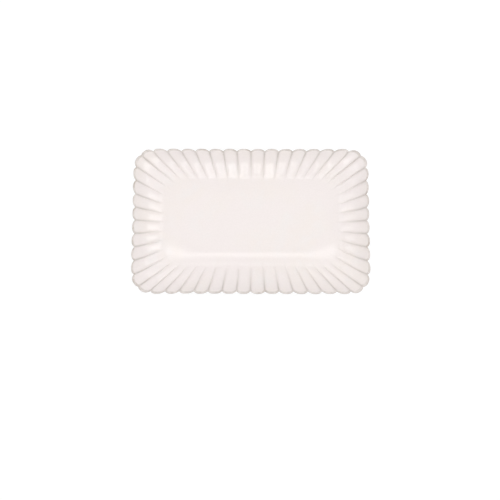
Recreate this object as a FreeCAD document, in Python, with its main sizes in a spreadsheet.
import FreeCAD, Part
import math
import os
from FreeCAD import Vector
import Sketcher

# China serving platter: a rectangular press-moulded dish with a border of
# gadroon petals, standing on a low foot ring. It is built as a clay body and
# four glaze coats.
# Frame: millimetres. +X along the length, +Y towards the back, +Z up.
# Origin: centre of the plane the foot ring stands on.
# An inset is a plan distance inwards from the petal tips.

doc = FreeCAD.newDocument("china_serving_platter")

# ---- driving dimensions ------------------------------------------------------
# alias, value, meaning
DIMENSIONS = [
    # overall
    ("overall_length", 355.0, "petal tip to petal tip along X"),
    ("overall_width", 219.0, "petal tip to petal tip along Y"),
    ("overall_height", 36.0, "standing plane to rim crest"),
    ("rim_corner_radius", 30.0, "plan corner radius through the petal tips"),
    # floor of the well
    ("floor_inset", 65.5, "petal tip to the edge of the flat floor"),
    ("floor_corner_radius", 40.0, "plan corner radius of the flat floor"),
    ("floor_level", 12.5, "standing plane to the glazed floor"),
    # petal border
    ("side_petals_long", 8, "petals on half a long side"),
    ("side_petals_short", 5, "petals on half a short side"),
    ("pitch_long", 21.36, "petal pitch on the long sides"),
    ("pitch_short", 20.42, "petal pitch on the short sides"),
    ("notch_depth", 3.6, "depth in plan of the notch between two petal tips"),
    ("corner_notch_share", 0.5, "share of that depth left at the middle of a corner"),
    ("groove_depth", 3.7, "depth of the V groove between petals at the rim"),
    ("groove_reach", 61.0, "inset toward which the grooves get shallower"),
    ("groove_end", 46.0, "inset at which the grooves have run out to nothing"),
    ("groove_rim_share", 0.35, "share of the groove depth left over the round of the rim"),
    ("nose_height", 0.9, "rise of the rounded nose at the inner end of a petal"),
    ("nose_inset", 39.5, "petal tip to the steepest part of that nose"),
    ("groove_swing_run", 6.0, "inset over which a groove near a corner swings into its line"),
    ("back_flute_depth", 0.9, "depth of the soft flutes on the outer wall"),
    # rim edge
    ("rim_shoulder_inset", 3.6, "petal tip to the inner shoulder of the rim"),
    ("rim_shoulder_drop", 0.7, "rim crest down to the inner shoulder"),
    ("rim_edge_drop", 2.5, "rim crest down to the widest point"),
    ("rim_under_inset", 1.9, "petal tip to the lower shoulder of the rim"),
    ("rim_under_drop", 5.2, "rim crest down to the lower shoulder"),
    # foot
    ("foot_height", 7.6, "standing plane to the root of the foot"),
    ("foot_root_inset", 42.5, "petal tip to the root of the foot"),
    ("foot_edge_inset", 49.3, "petal tip to the outer edge of the foot"),
    ("foot_flat_inset", 51.0, "petal tip to the flat the platter stands on"),
    ("foot_corner_radius", 9.0, "plan corner radius of the foot"),
    ("foot_bare_height", 1.6, "bare clay left below the glaze line"),
    ("recess_length", 242.0, "foot recess at the standing plane, along X"),
    ("recess_width", 106.0, "foot recess at the standing plane, along Y"),
    ("recess_radius", 8.0, "plan corner radius of the recess"),
    ("recess_depth", 5.8, "standing plane to the clay inside the foot ring"),
    ("recess_draft", 12.0, "draft angle of the recess wall, degrees"),
    # glaze
    ("glaze_thickness", 0.5, "thickness of the fired glaze coat"),
]
sheet = doc.addObject("Spreadsheet::Sheet", "Dimensions")
sheet.set("A1", "dimension")
sheet.set("B1", "value")
sheet.set("C1", "meaning")
for row, (alias, value, meaning) in enumerate(DIMENSIONS, start=2):
    sheet.set("A%d" % row, alias)
    sheet.set("B%d" % row, "%g" % value)
    sheet.setAlias("B%d" % row, alias)
    sheet.set("C%d" % row, meaning)
doc.recompute()


def dim(alias):
    return float(sheet.get(alias))


HALF_LENGTH = dim("overall_length") / 2.0
HALF_WIDTH = dim("overall_width") / 2.0
HEIGHT = dim("overall_height")
RIM_RADIUS = dim("rim_corner_radius")
FLOOR_INSET = dim("floor_inset")
FLOOR_Z = dim("floor_level")
LONG_PETALS = int(dim("side_petals_long"))
SHORT_PETALS = int(dim("side_petals_short"))
QUARTER = LONG_PETALS + SHORT_PETALS    # petals in one quarter of the border
PETALS = 4 * QUARTER                    # petals all round
NOTCH = dim("notch_depth")
CORNER_SHARE = dim("corner_notch_share")
GROOVE = dim("groove_depth")
GROOVE_REACH = dim("groove_reach")
GROOVE_END = dim("groove_end")
RIM_SHARE = dim("groove_rim_share")
NOSE = dim("nose_height")
NOSE_INSET = dim("nose_inset")
SWING_RUN = dim("groove_swing_run")
WALL_FLUTE = dim("back_flute_depth")
FOOT_Z = dim("foot_height")
FOOT_ROOT = dim("foot_root_inset")
FOOT_EDGE = dim("foot_edge_inset")
FOOT_FLAT = dim("foot_flat_inset")
BARE_Z = dim("foot_bare_height")
GLAZE = dim("glaze_thickness")

# ---- fan of petal lines --------------------------------------------------------
# A line position u counts petals round the border: whole numbers are the grooves.
# Line 0 leaves the middle of the +X short side at right angles, line QUARTER the
# middle of the +Y long side, and the lines between turn through the corner.
# Angle of each line from the X axis, degrees:
LINE_ANGLES = [0.0, 8.3, 17.0, 25.6, 32.8, 38.2, 43.4,
               50.0, 57.4, 66.0, 74.4, 81.0, 86.0, 90.0]
# Sideways move of each line once it runs straight, positive towards the middle
# of the long side. It makes the grooves next to a corner leave in a short curve.
LINE_SWINGS = [0.0, 0.0, 0.5, 1.8, 3.0, 0.0, -3.5,
               -2.5, -1.5, -0.5, 0.0, 0.0, 0.0, 0.0]
# Lengths of the straight and round parts of a quarter of the border.
SHORT_RUN = HALF_WIDTH - RIM_RADIUS
CORNER_RUN = RIM_RADIUS * math.pi / 2.0
LONG_RUN = HALF_LENGTH - RIM_RADIUS
QUARTER_RUN = SHORT_RUN + CORNER_RUN + LONG_RUN
# Where each line starts, as a run along the border from the short side's middle.
LINE_STARTS = [dim("pitch_short") * k for k in range(SHORT_PETALS)]
LINE_STARTS.append(SHORT_RUN + CORNER_RUN / 2.0)
LINE_STARTS += [QUARTER_RUN - dim("pitch_long") * k for k in range(LONG_PETALS - 1, -1, -1)]

SEARCH_START = -8.0     # inset, outside the border, where a search along a line starts
SEARCH_STEP = 2.0
SEARCH_HALVINGS = 48


def smooth(table, u):
    """Catmull-Rom value between the entries of a table, mirrored at both ends."""
    last = len(table) - 1
    i = max(0, min(last - 1, int(math.floor(u))))
    f = u - i

    def entry(k):
        if k < 0:
            return 2.0 * table[0] - table[-k]
        if k > last:
            return 2.0 * table[last] - table[2 * last - k]
        return table[k]

    p0, p1, p2, p3 = (entry(k) for k in range(i - 1, i + 3))
    return 0.5 * (2 * p1 + (p2 - p0) * f + (2 * p0 - 5 * p1 + 4 * p2 - p3) * f * f
                  + (3 * p1 - p0 - 3 * p2 + p3) * f ** 3)


def border_point(run):
    """Point of the border at a run from the middle of the short side."""
    if run <= SHORT_RUN:
        return HALF_LENGTH, run
    if run <= SHORT_RUN + CORNER_RUN:
        angle = (run - SHORT_RUN) / RIM_RADIUS
        return (LONG_RUN + RIM_RADIUS * math.cos(angle),
                SHORT_RUN + RIM_RADIUS * math.sin(angle))
    return QUARTER_RUN - run, HALF_WIDTH


def outside(x, y, inset, radius):
    """Distance of a plan point outside the rounded rectangle at an inset."""
    dx = abs(x) - (HALF_LENGTH - inset - radius)
    dy = abs(y) - (HALF_WIDTH - inset - radius)
    if dx <= 0.0 and dy <= 0.0:
        return -radius
    if dx <= 0.0:
        return dy - radius
    if dy <= 0.0:
        return dx - radius
    return math.hypot(dx, dy) - radius


def crossing(u, inset, radius):
    """Where line u of the first quarter crosses the rounded rectangle at an inset."""
    x, y = border_point(smooth(LINE_STARTS, u))
    angle = math.radians(smooth(LINE_ANGLES, u))
    dir_x, dir_y = -math.cos(angle), -math.sin(angle)
    swing = smooth(LINE_SWINGS, u) * (1.0 - math.exp(-max(0.0, inset) / SWING_RUN))
    x, y = x + swing * dir_y, y - swing * dir_x

    def is_outside(distance):
        return outside(x + dir_x * distance, y + dir_y * distance, inset, radius) > 0.0

    near = far = SEARCH_START
    while is_outside(far):
        near = far
        far += SEARCH_STEP
    for _ in range(SEARCH_HALVINGS):
        middle = 0.5 * (near + far)
        if is_outside(middle):
            near = middle
        else:
            far = middle
    return x + dir_x * far, y + dir_y * far


def plan_point(u, inset, radius):
    """Crossing for a line anywhere round the border, by mirroring the first quarter."""
    quadrant, along = divmod(u, QUARTER)
    if quadrant in (1, 3):
        along = QUARTER - along
    x, y = crossing(along, inset, radius)
    return (-x if quadrant in (1, 2) else x), (-y if quadrant in (2, 3) else y)


# ---- relief of the petals ------------------------------------------------------
# v runs across one petal, from -1 at one groove through 0 at its crown to 1.
# Each span is the pair of insets between which a form fades or grows.
FACE_NOTCH_SPAN = (2.0, 22.0)
WALL_NOTCH_SPAN = (2.0, 24.0)
GROOVE_END_SPAN = (GROOVE_END - 12.0, GROOVE_END)
RIM_FILL_SPAN = (2.0, 9.0)
NOSE_RISE_SPAN = (NOSE_INSET - 22.5, NOSE_INSET - 7.5)
NOSE_FALL_SPAN = (NOSE_INSET - 4.5, NOSE_INSET + 4.5)
WALL_FLUTE_SPAN = (8.0, FOOT_ROOT - 2.0)
SCALLOP_POWER = 2.8
RUN_OUT_POWER = 1.4


def fade(inset, span):
    """Smooth step from 1 at the start of a span to 0 at its end."""
    start, end = span
    part = max(0.0, min(1.0, (inset - start) / (end - start)))
    return 1.0 - part * part * (3.0 - 2.0 * part)


def corner_radius(inset, end_inset, end_radius):
    """Plan corner radius, from the rim's at inset 0 to end_radius at end_inset."""
    part = max(0.0, min(1.0, inset / end_inset))
    return RIM_RADIUS + (end_radius - RIM_RADIUS) * part


def scallop(v):
    """Share of the plan set-back across one petal."""
    return abs(v) ** SCALLOP_POWER


def flute(v):
    """Share of the groove depth across one petal: a soft crown and a narrow V."""
    return 0.24 * v * v + 0.30 * v ** 4 + 0.46 * abs(v) ** 9


def groove(inset):
    """Depth of a groove: shallow over the round of the rim, nothing at its end."""
    run_out = max(0.0, 1.0 - inset / GROOVE_REACH) ** RUN_OUT_POWER
    rim_fill = RIM_SHARE + (1.0 - RIM_SHARE) * (1.0 - fade(inset, RIM_FILL_SPAN))
    return GROOVE * run_out * fade(inset, GROOVE_END_SPAN) * rim_fill


def notch(u):
    """Depth of the notch nearest to line u: shallower at the middle of a corner."""
    line = int(math.floor(u + 0.5)) % (2 * QUARTER)
    at_corner = line in (SHORT_PETALS, 2 * QUARTER - SHORT_PETALS)
    return NOTCH * (CORNER_SHARE if at_corner else 1.0)


def nose(inset, v):
    """Rounded inner end of a petal, rising from the wall and dropping to the floor."""
    rise = 1.0 - fade(inset, NOSE_RISE_SPAN)
    return NOSE * rise * fade(inset, NOSE_FALL_SPAN) * (1.0 - v * v)


# ---- section: points of (inset, height) ------------------------------------------
SHOULDER_INSET = dim("rim_shoulder_inset")
SHOULDER_Z = HEIGHT - dim("rim_shoulder_drop")
EDGE_Z = HEIGHT - dim("rim_edge_drop")
UNDER_INSET = dim("rim_under_inset")
UNDER_Z = HEIGHT - dim("rim_under_drop")
FACE_RISE = SHOULDER_Z - FLOOR_Z
CREST_SAMPLES = 81
CREST_PASSES = 60


def bezier(start, handle_1, handle_2, end, count):
    """Points along a cubic Bezier curve."""
    points = []
    for i in range(count):
        f = i / (count - 1.0)
        k = 1.0 - f
        points.append(tuple(
            k ** 3 * start[axis] + 3 * k * k * f * handle_1[axis]
            + 3 * k * f * f * handle_2[axis] + f ** 3 * end[axis] for axis in (0, 1)))
    return points


def rim_top(lift, count):
    """Rim from the inner shoulder over the crest to the widest point."""
    return bezier((SHOULDER_INSET, SHOULDER_Z),
                  (SHOULDER_INSET - 1.7, SHOULDER_Z + 1.15 + lift),
                  (0.0, EDGE_Z + 2.3 + lift), (0.0, EDGE_Z), count)


def crest_lift():
    """Lift of the rim's handles that brings the crest to the overall height."""
    lift = 0.0
    for _ in range(CREST_PASSES):
        lift += HEIGHT - max(z for _inset, z in rim_top(lift, CREST_SAMPLES))
    return lift


def clay_section(chain):
    """The section moved into the body by the thickness of the glaze."""
    points = []
    last = len(chain) - 1
    for i, (inset, z) in enumerate(chain):
        before, after = chain[max(0, i - 1)], chain[min(last, i + 1)]
        d_inset, d_z = after[0] - before[0], after[1] - before[1]
        size = math.hypot(d_inset, d_z)
        # the chain runs floor, rim, outer wall, with the body on the left hand
        points.append((inset - d_z / size * GLAZE, z + d_inset / size * GLAZE))
    return points


FACE = bezier((FLOOR_INSET, FLOOR_Z), (FLOOR_INSET - 22.0, FLOOR_Z + 0.02 * FACE_RISE),
              (SHOULDER_INSET + 16.0, SHOULDER_Z - 0.55 * FACE_RISE),
              (SHOULDER_INSET, SHOULDER_Z), 13)
RIM_TOP = rim_top(crest_lift(), 6)
RIM_LOW = bezier((0.0, EDGE_Z), (0.0, EDGE_Z - 1.2), (0.7, UNDER_Z + 1.1),
                 (UNDER_INSET, UNDER_Z), 5)
WALL = bezier((UNDER_INSET, UNDER_Z), (4.6, 24.4), (27.0, 13.6), (FOOT_ROOT, FOOT_Z), 11)
FOOT_SIDE = bezier((FOOT_ROOT, FOOT_Z), (FOOT_ROOT + 2.2, FOOT_Z - 1.0),
                   (FOOT_EDGE - 1.6, BARE_Z + 2.2), (FOOT_EDGE, BARE_Z), 6)
FOOT_BARE = bezier((FOOT_EDGE, BARE_Z), (FOOT_EDGE + 0.3, BARE_Z - 0.9),
                   (FOOT_FLAT - 0.9, 0.0), (FOOT_FLAT, 0.0), 5)

# One continuous chain, so that neighbouring surfaces share their end sections.
GLAZED = FACE + RIM_TOP[1:] + RIM_LOW[1:] + WALL[1:] + FOOT_SIDE[1:]
# Station numbers at the joints of the chain.
SHOULDER = len(FACE) - 1
EDGE = SHOULDER + len(RIM_TOP) - 1
UNDER = EDGE + len(RIM_LOW) - 1
ROOT = UNDER + len(WALL) - 1
GLAZE_LINE = ROOT + len(FOOT_SIDE) - 1
SOLE = GLAZE_LINE + len(FOOT_BARE) - 1


def bare_foot():
    """Clay below the glaze line, eased down to the standing plane."""
    last = len(FOOT_BARE) - 1
    points = [(inset, max(0.0, z - GLAZE * i / last))
              for i, (inset, z) in enumerate(clay_section(FOOT_BARE))]
    return points[1:-1] + [(FOOT_FLAT, 0.0)]


CLAY = clay_section(GLAZED)
CLAY[0] = (FLOOR_INSET, FLOOR_Z - GLAZE)
SECTIONS = {"glaze": GLAZED, "clay": CLAY + bare_foot()}
LAYERS = ("glaze", "clay")
# Insets that steer the relief, the same for both layers.
STATION_INSETS = [inset for inset, _z in GLAZED + FOOT_BARE[1:]]


def place(petal, v, index, layer):
    """Point in space: place v across a petal, at a station of a layer's section."""
    u = petal + 0.5 * (v + 1.0)
    inset, z = SECTIONS[layer][index]
    station_inset = STATION_INSETS[index]
    if index <= EDGE:
        notch_span = FACE_NOTCH_SPAN
        depth = groove(station_inset)
        if index > SHOULDER:
            depth *= 1.0 - (index - SHOULDER) / float(EDGE - SHOULDER)
        z += nose(station_inset, v) - depth * flute(v)
        radius = corner_radius(station_inset, FLOOR_INSET, dim("floor_corner_radius"))
    else:
        notch_span = WALL_NOTCH_SPAN
        if index > UNDER:
            share = fade(station_inset, WALL_FLUTE_SPAN)
        else:
            share = (index - EDGE) / float(UNDER - EDGE)
        z += WALL_FLUTE * share * v * v
        radius = corner_radius(station_inset, FOOT_EDGE, dim("foot_corner_radius"))
    inset += notch(u) * fade(station_inset, notch_span) * scallop(v)
    x, y = plan_point(u, inset, radius)
    return Vector(x, y, z)


# ---- interpolation by clamped cubic splines ----------------------------------------
def basis(flat, degree, count, x):
    """All basis functions at x, for a flat knot list."""
    if x >= 1.0:
        return [0.0] * (count - 1) + [1.0]
    values = [1.0 if flat[i] <= x < flat[i + 1] else 0.0 for i in range(len(flat) - 1)]
    for d in range(1, degree + 1):
        for i in range(len(flat) - 1 - d):
            left = flat[i + d] - flat[i]
            right = flat[i + d + 1] - flat[i + 1]
            value = 0.0
            if left > 0:
                value += (x - flat[i]) / left * values[i]
            if right > 0:
                value += (flat[i + d + 1] - x) / right * values[i + 1]
            values[i] = value
    return values[:count]


def inverse(matrix):
    """Inverse of a square matrix by Gauss-Jordan elimination."""
    size = len(matrix)
    rows = [list(row) + [1.0 if i == j else 0.0 for j in range(size)]
            for i, row in enumerate(matrix)]
    for c in range(size):
        pivot = max(range(c, size), key=lambda r: abs(rows[r][c]))
        rows[c], rows[pivot] = rows[pivot], rows[c]
        divisor = rows[c][c]
        rows[c] = [value / divisor for value in rows[c]]
        for r in range(size):
            if r != c and rows[r][c]:
                factor = rows[r][c]
                rows[r] = [value - factor * top for value, top in zip(rows[r], rows[c])]
    return [row[size:] for row in rows]


SPLINES = {}


def spline(count):
    """Pole weights, knots, multiplicities and degree of a spline through count points."""
    if count not in SPLINES:
        degree = min(3, count - 1)
        params = [i / (count - 1.0) for i in range(count)]
        interior = [sum(params[j:j + degree]) / degree for j in range(1, count - degree)]
        flat = [0.0] * (degree + 1) + interior + [1.0] * (degree + 1)
        weights = inverse([basis(flat, degree, count, x) for x in params])
        mults = [degree + 1] + [1] * len(interior) + [degree + 1]
        SPLINES[count] = (weights, [0.0] + interior + [1.0], mults, degree)
    return SPLINES[count]


def poles_through(points, weights):
    """Poles of the spline that passes through the points."""
    poles = []
    for row in weights:
        pole = Vector(0, 0, 0)
        for weight, point in zip(row, points):
            pole = pole + point * weight
        poles.append(pole)
    return poles


def curve_edge(points):
    weights, knots, mults, degree = spline(len(points))
    curve = Part.BSplineCurve()
    curve.buildFromPolesMultsKnots(poles_through(points, weights), mults, knots, False, degree)
    return curve.toShape()


def surface(grid):
    """Smooth face through a grid of points; equal edges give equal curves."""
    weights_r, knots_r, mults_r, degree_r = spline(len(grid))
    weights_c, knots_c, mults_c, degree_c = spline(len(grid[0]))
    row_poles = [poles_through(row, weights_c) for row in grid]
    columns = [poles_through(column, weights_r) for column in zip(*row_poles)]
    poles = [list(row) for row in zip(*columns)]
    result = Part.BSplineSurface()
    result.buildFromPolesMultsKnots(poles, mults_r, mults_c, knots_r, knots_c,
                                    False, False, degree_r, degree_c)
    return result.toShape()


# ---- faces and solids ----------------------------------------------------------------
COLUMNS = 9     # points across one petal, both grooves included
POINTS = {}


def across(column):
    """Place v of a column: columns are drawn together towards the grooves."""
    even = 2.0 * column / (COLUMNS - 1.0) - 1.0
    return even + 0.5 * math.sin(math.pi * even) / math.pi


def petal_row(petal, index, layer):
    """Points across one petal. Neighbouring petals share the points on their groove."""
    row = []
    for step in range(COLUMNS):
        last = step == COLUMNS - 1
        owner, column = ((petal + 1) % PETALS, 0) if last else (petal, step)
        key = (owner, column, index, layer)
        if key not in POINTS:
            POINTS[key] = place(owner, across(column), index, layer)
        row.append(POINTS[key])
    return row


def petal_faces(stations):
    """One face for each petal, through a list of (index, layer) stations."""
    return [surface([petal_row(petal, index, layer) for index, layer in stations])
            for petal in range(PETALS)]


def skin(stops, layer):
    """Faces of a layer, parted at the station numbers in stops."""
    faces = []
    for first, last in zip(stops, stops[1:]):
        faces += petal_faces([(i, layer) for i in range(first, last + 1)])
    return faces


def flat_face(index, layer):
    """Plane face inside the closed border at a level station."""
    return Part.Face(Part.Wire([curve_edge(petal_row(petal, index, layer))
                                for petal in range(PETALS)]))


def solid_feature(label, faces):
    """Document object holding the solid that the faces close."""
    shell = Part.makeShell(faces)
    shell.sewShape()
    solid = Part.makeSolid(shell)
    if solid.Volume < 0:
        solid.reverse()
    feature = doc.addObject("Part::Feature", label)
    feature.Label = label
    feature.Shape = solid
    return feature


def pressed_blank():
    """The whole pressed body with a solid foot."""
    faces = [flat_face(0, "clay")]
    faces += skin([0, SHOULDER, UNDER, ROOT, GLAZE_LINE, SOLE], "clay")
    faces.append(flat_face(SOLE, "clay"))
    return solid_feature("pressed_blank", faces)


def glaze_coat(label, stops, open_ends, caps=()):
    """Coat between the two layers, closed by narrow strips at its open ends."""
    faces = list(caps)
    for layer in LAYERS:
        faces += skin(stops, layer)
    for index in open_ends:
        faces += petal_faces([(index, layer) for layer in LAYERS])
    return solid_feature(label, faces)


# ---- drafted blocks for the foot recess --------------------------------------------------
def rounded_rectangle(sketch, length, width, radius):
    """Rounded rectangle centred on the sketch origin, fully constrained."""
    half_x, half_y = length / 2.0, width / 2.0
    mid_x, mid_y = half_x - radius, half_y - radius
    quarter_turn = math.pi / 2.0
    # side start, side end, centre of the corner that follows, its start angle
    outline = [
        ((-mid_x, -half_y), (mid_x, -half_y), (mid_x, -mid_y), -quarter_turn),
        ((half_x, -mid_y), (half_x, mid_y), (mid_x, mid_y), 0.0),
        ((mid_x, half_y), (-mid_x, half_y), (-mid_x, mid_y), quarter_turn),
        ((-half_x, mid_y), (-half_x, -mid_y), (-mid_x, -mid_y), math.pi),
    ]
    for start, end, centre, angle in outline:
        sketch.addGeometry(Part.LineSegment(Vector(*start, 0), Vector(*end, 0)), False)
        circle = Part.Circle(Vector(*centre, 0), Vector(0, 0, 1), radius)
        sketch.addGeometry(Part.ArcOfCircle(circle, angle, angle + quarter_turn), False)
    # geometry 0, 2, 4, 6 are the sides and 1, 3, 5, 7 the corners
    for side in (0, 2, 4, 6):
        corner = side + 1
        sketch.addConstraint(Sketcher.Constraint("Tangent", side, 2, corner, 1))
        sketch.addConstraint(Sketcher.Constraint("Tangent", corner, 2, (side + 2) % 8, 1))
    for constraint in [
        ("Horizontal", 4),
        ("Vertical", 6),
        ("Equal", 1, 3),
        ("Equal", 3, 5),
        ("Equal", 5, 7),
        ("Symmetric", 0, 1, 0, 2, -2),
        ("Symmetric", 2, 1, 2, 2, -1),
    ]:
        sketch.addConstraint(Sketcher.Constraint(*constraint))
    for name, constraint in [
        ("corner", ("Radius", 1, radius)),
        ("length", ("DistanceX", 6, 1, 2, 2, length)),
        ("width", ("DistanceY", 0, 1, 4, 1, width)),
    ]:
        number = sketch.addConstraint(Sketcher.Constraint(*constraint))
        sketch.renameConstraint(number, name)


def drafted_block(label, height, height_source, level=0.0, level_source=""):
    """Slice of the recess volume, from a level up; sources are the expressions."""
    body = doc.addObject("PartDesign::Body", label)
    body.Label = label
    sketch = body.newObject("Sketcher::SketchObject", label + "_outline")
    plane = next(f for f in body.Origin.OriginFeatures if f.Role == "XY_Plane")
    sketch.AttachmentSupport = [(plane, "")]
    sketch.MapMode = "FlatFace"
    less_once = less_twice = ""
    if level_source:
        sketch.AttachmentOffset = FreeCAD.Placement(Vector(0, 0, level), FreeCAD.Rotation())
        sketch.setExpression(".AttachmentOffset.Base.z", level_source)
        narrowing = "(%s) * tan(Dimensions.recess_draft * 1 deg)" % level_source
        less_once, less_twice = " - " + narrowing, " - 2 * " + narrowing
    # the draft narrows the outline on every side as the level rises
    narrow = level * math.tan(math.radians(dim("recess_draft")))
    rounded_rectangle(sketch, dim("recess_length") - 2.0 * narrow,
                      dim("recess_width") - 2.0 * narrow, dim("recess_radius") - narrow)
    sketch.setExpression(".Constraints.corner", "Dimensions.recess_radius" + less_once)
    sketch.setExpression(".Constraints.length", "Dimensions.recess_length" + less_twice)
    sketch.setExpression(".Constraints.width", "Dimensions.recess_width" + less_twice)
    pad = body.newObject("PartDesign::Pad", label + "_pad")
    pad.Profile = sketch
    pad.Length = height
    pad.setExpression("Length", height_source)
    pad.TaperAngle = -dim("recess_draft")
    pad.setExpression("TaperAngle", "-Dimensions.recess_draft")
    doc.recompute()
    return body


def clay_body():
    """The pressed blank with the hollow inside the foot ring cut out."""
    blank = pressed_blank()
    core = drafted_block("foot_recess_core", dim("recess_depth"), "Dimensions.recess_depth")
    clay = doc.addObject("Part::Cut", "clay_body")
    clay.Label = "clay_body"
    clay.Base = blank
    clay.Tool = core
    doc.recompute()
    return clay


def recess_glaze():
    """Level coat on the clay inside the foot ring, with the draft of the recess."""
    return drafted_block("foot_recess_glaze", GLAZE, "Dimensions.glaze_thickness",
                         level=dim("recess_depth") - GLAZE,
                         level_source="Dimensions.recess_depth - Dimensions.glaze_thickness")


# ---- pieces, state check and export --------------------------------------------------------
pieces = [
    clay_body(),
    glaze_coat("face_glaze", [0, SHOULDER], open_ends=[SHOULDER],
               caps=[flat_face(0, layer) for layer in LAYERS]),
    glaze_coat("rim_glaze", [SHOULDER, UNDER], open_ends=[SHOULDER, UNDER]),
    glaze_coat("back_glaze", [UNDER, ROOT, GLAZE_LINE], open_ends=[UNDER, GLAZE_LINE]),
    recess_glaze(),
]

for obj in doc.Objects:
    state = list(obj.State)
    if "Invalid" in state or "Error" in state:
        raise RuntimeError("%s failed: %s" % (obj.Name, state))
for piece in pieces:
    if piece.Shape.isNull() or not piece.Shape.isValid():
        raise RuntimeError("%s has no valid shape" % piece.Label)
    if len(piece.Shape.Solids) != 1:
        raise RuntimeError("%s has %d solids" % (piece.Label, len(piece.Shape.Solids)))

os.makedirs("parts", exist_ok=True)
for piece in pieces:
    piece.Shape.exportStep("parts/%s.step" % piece.Label)
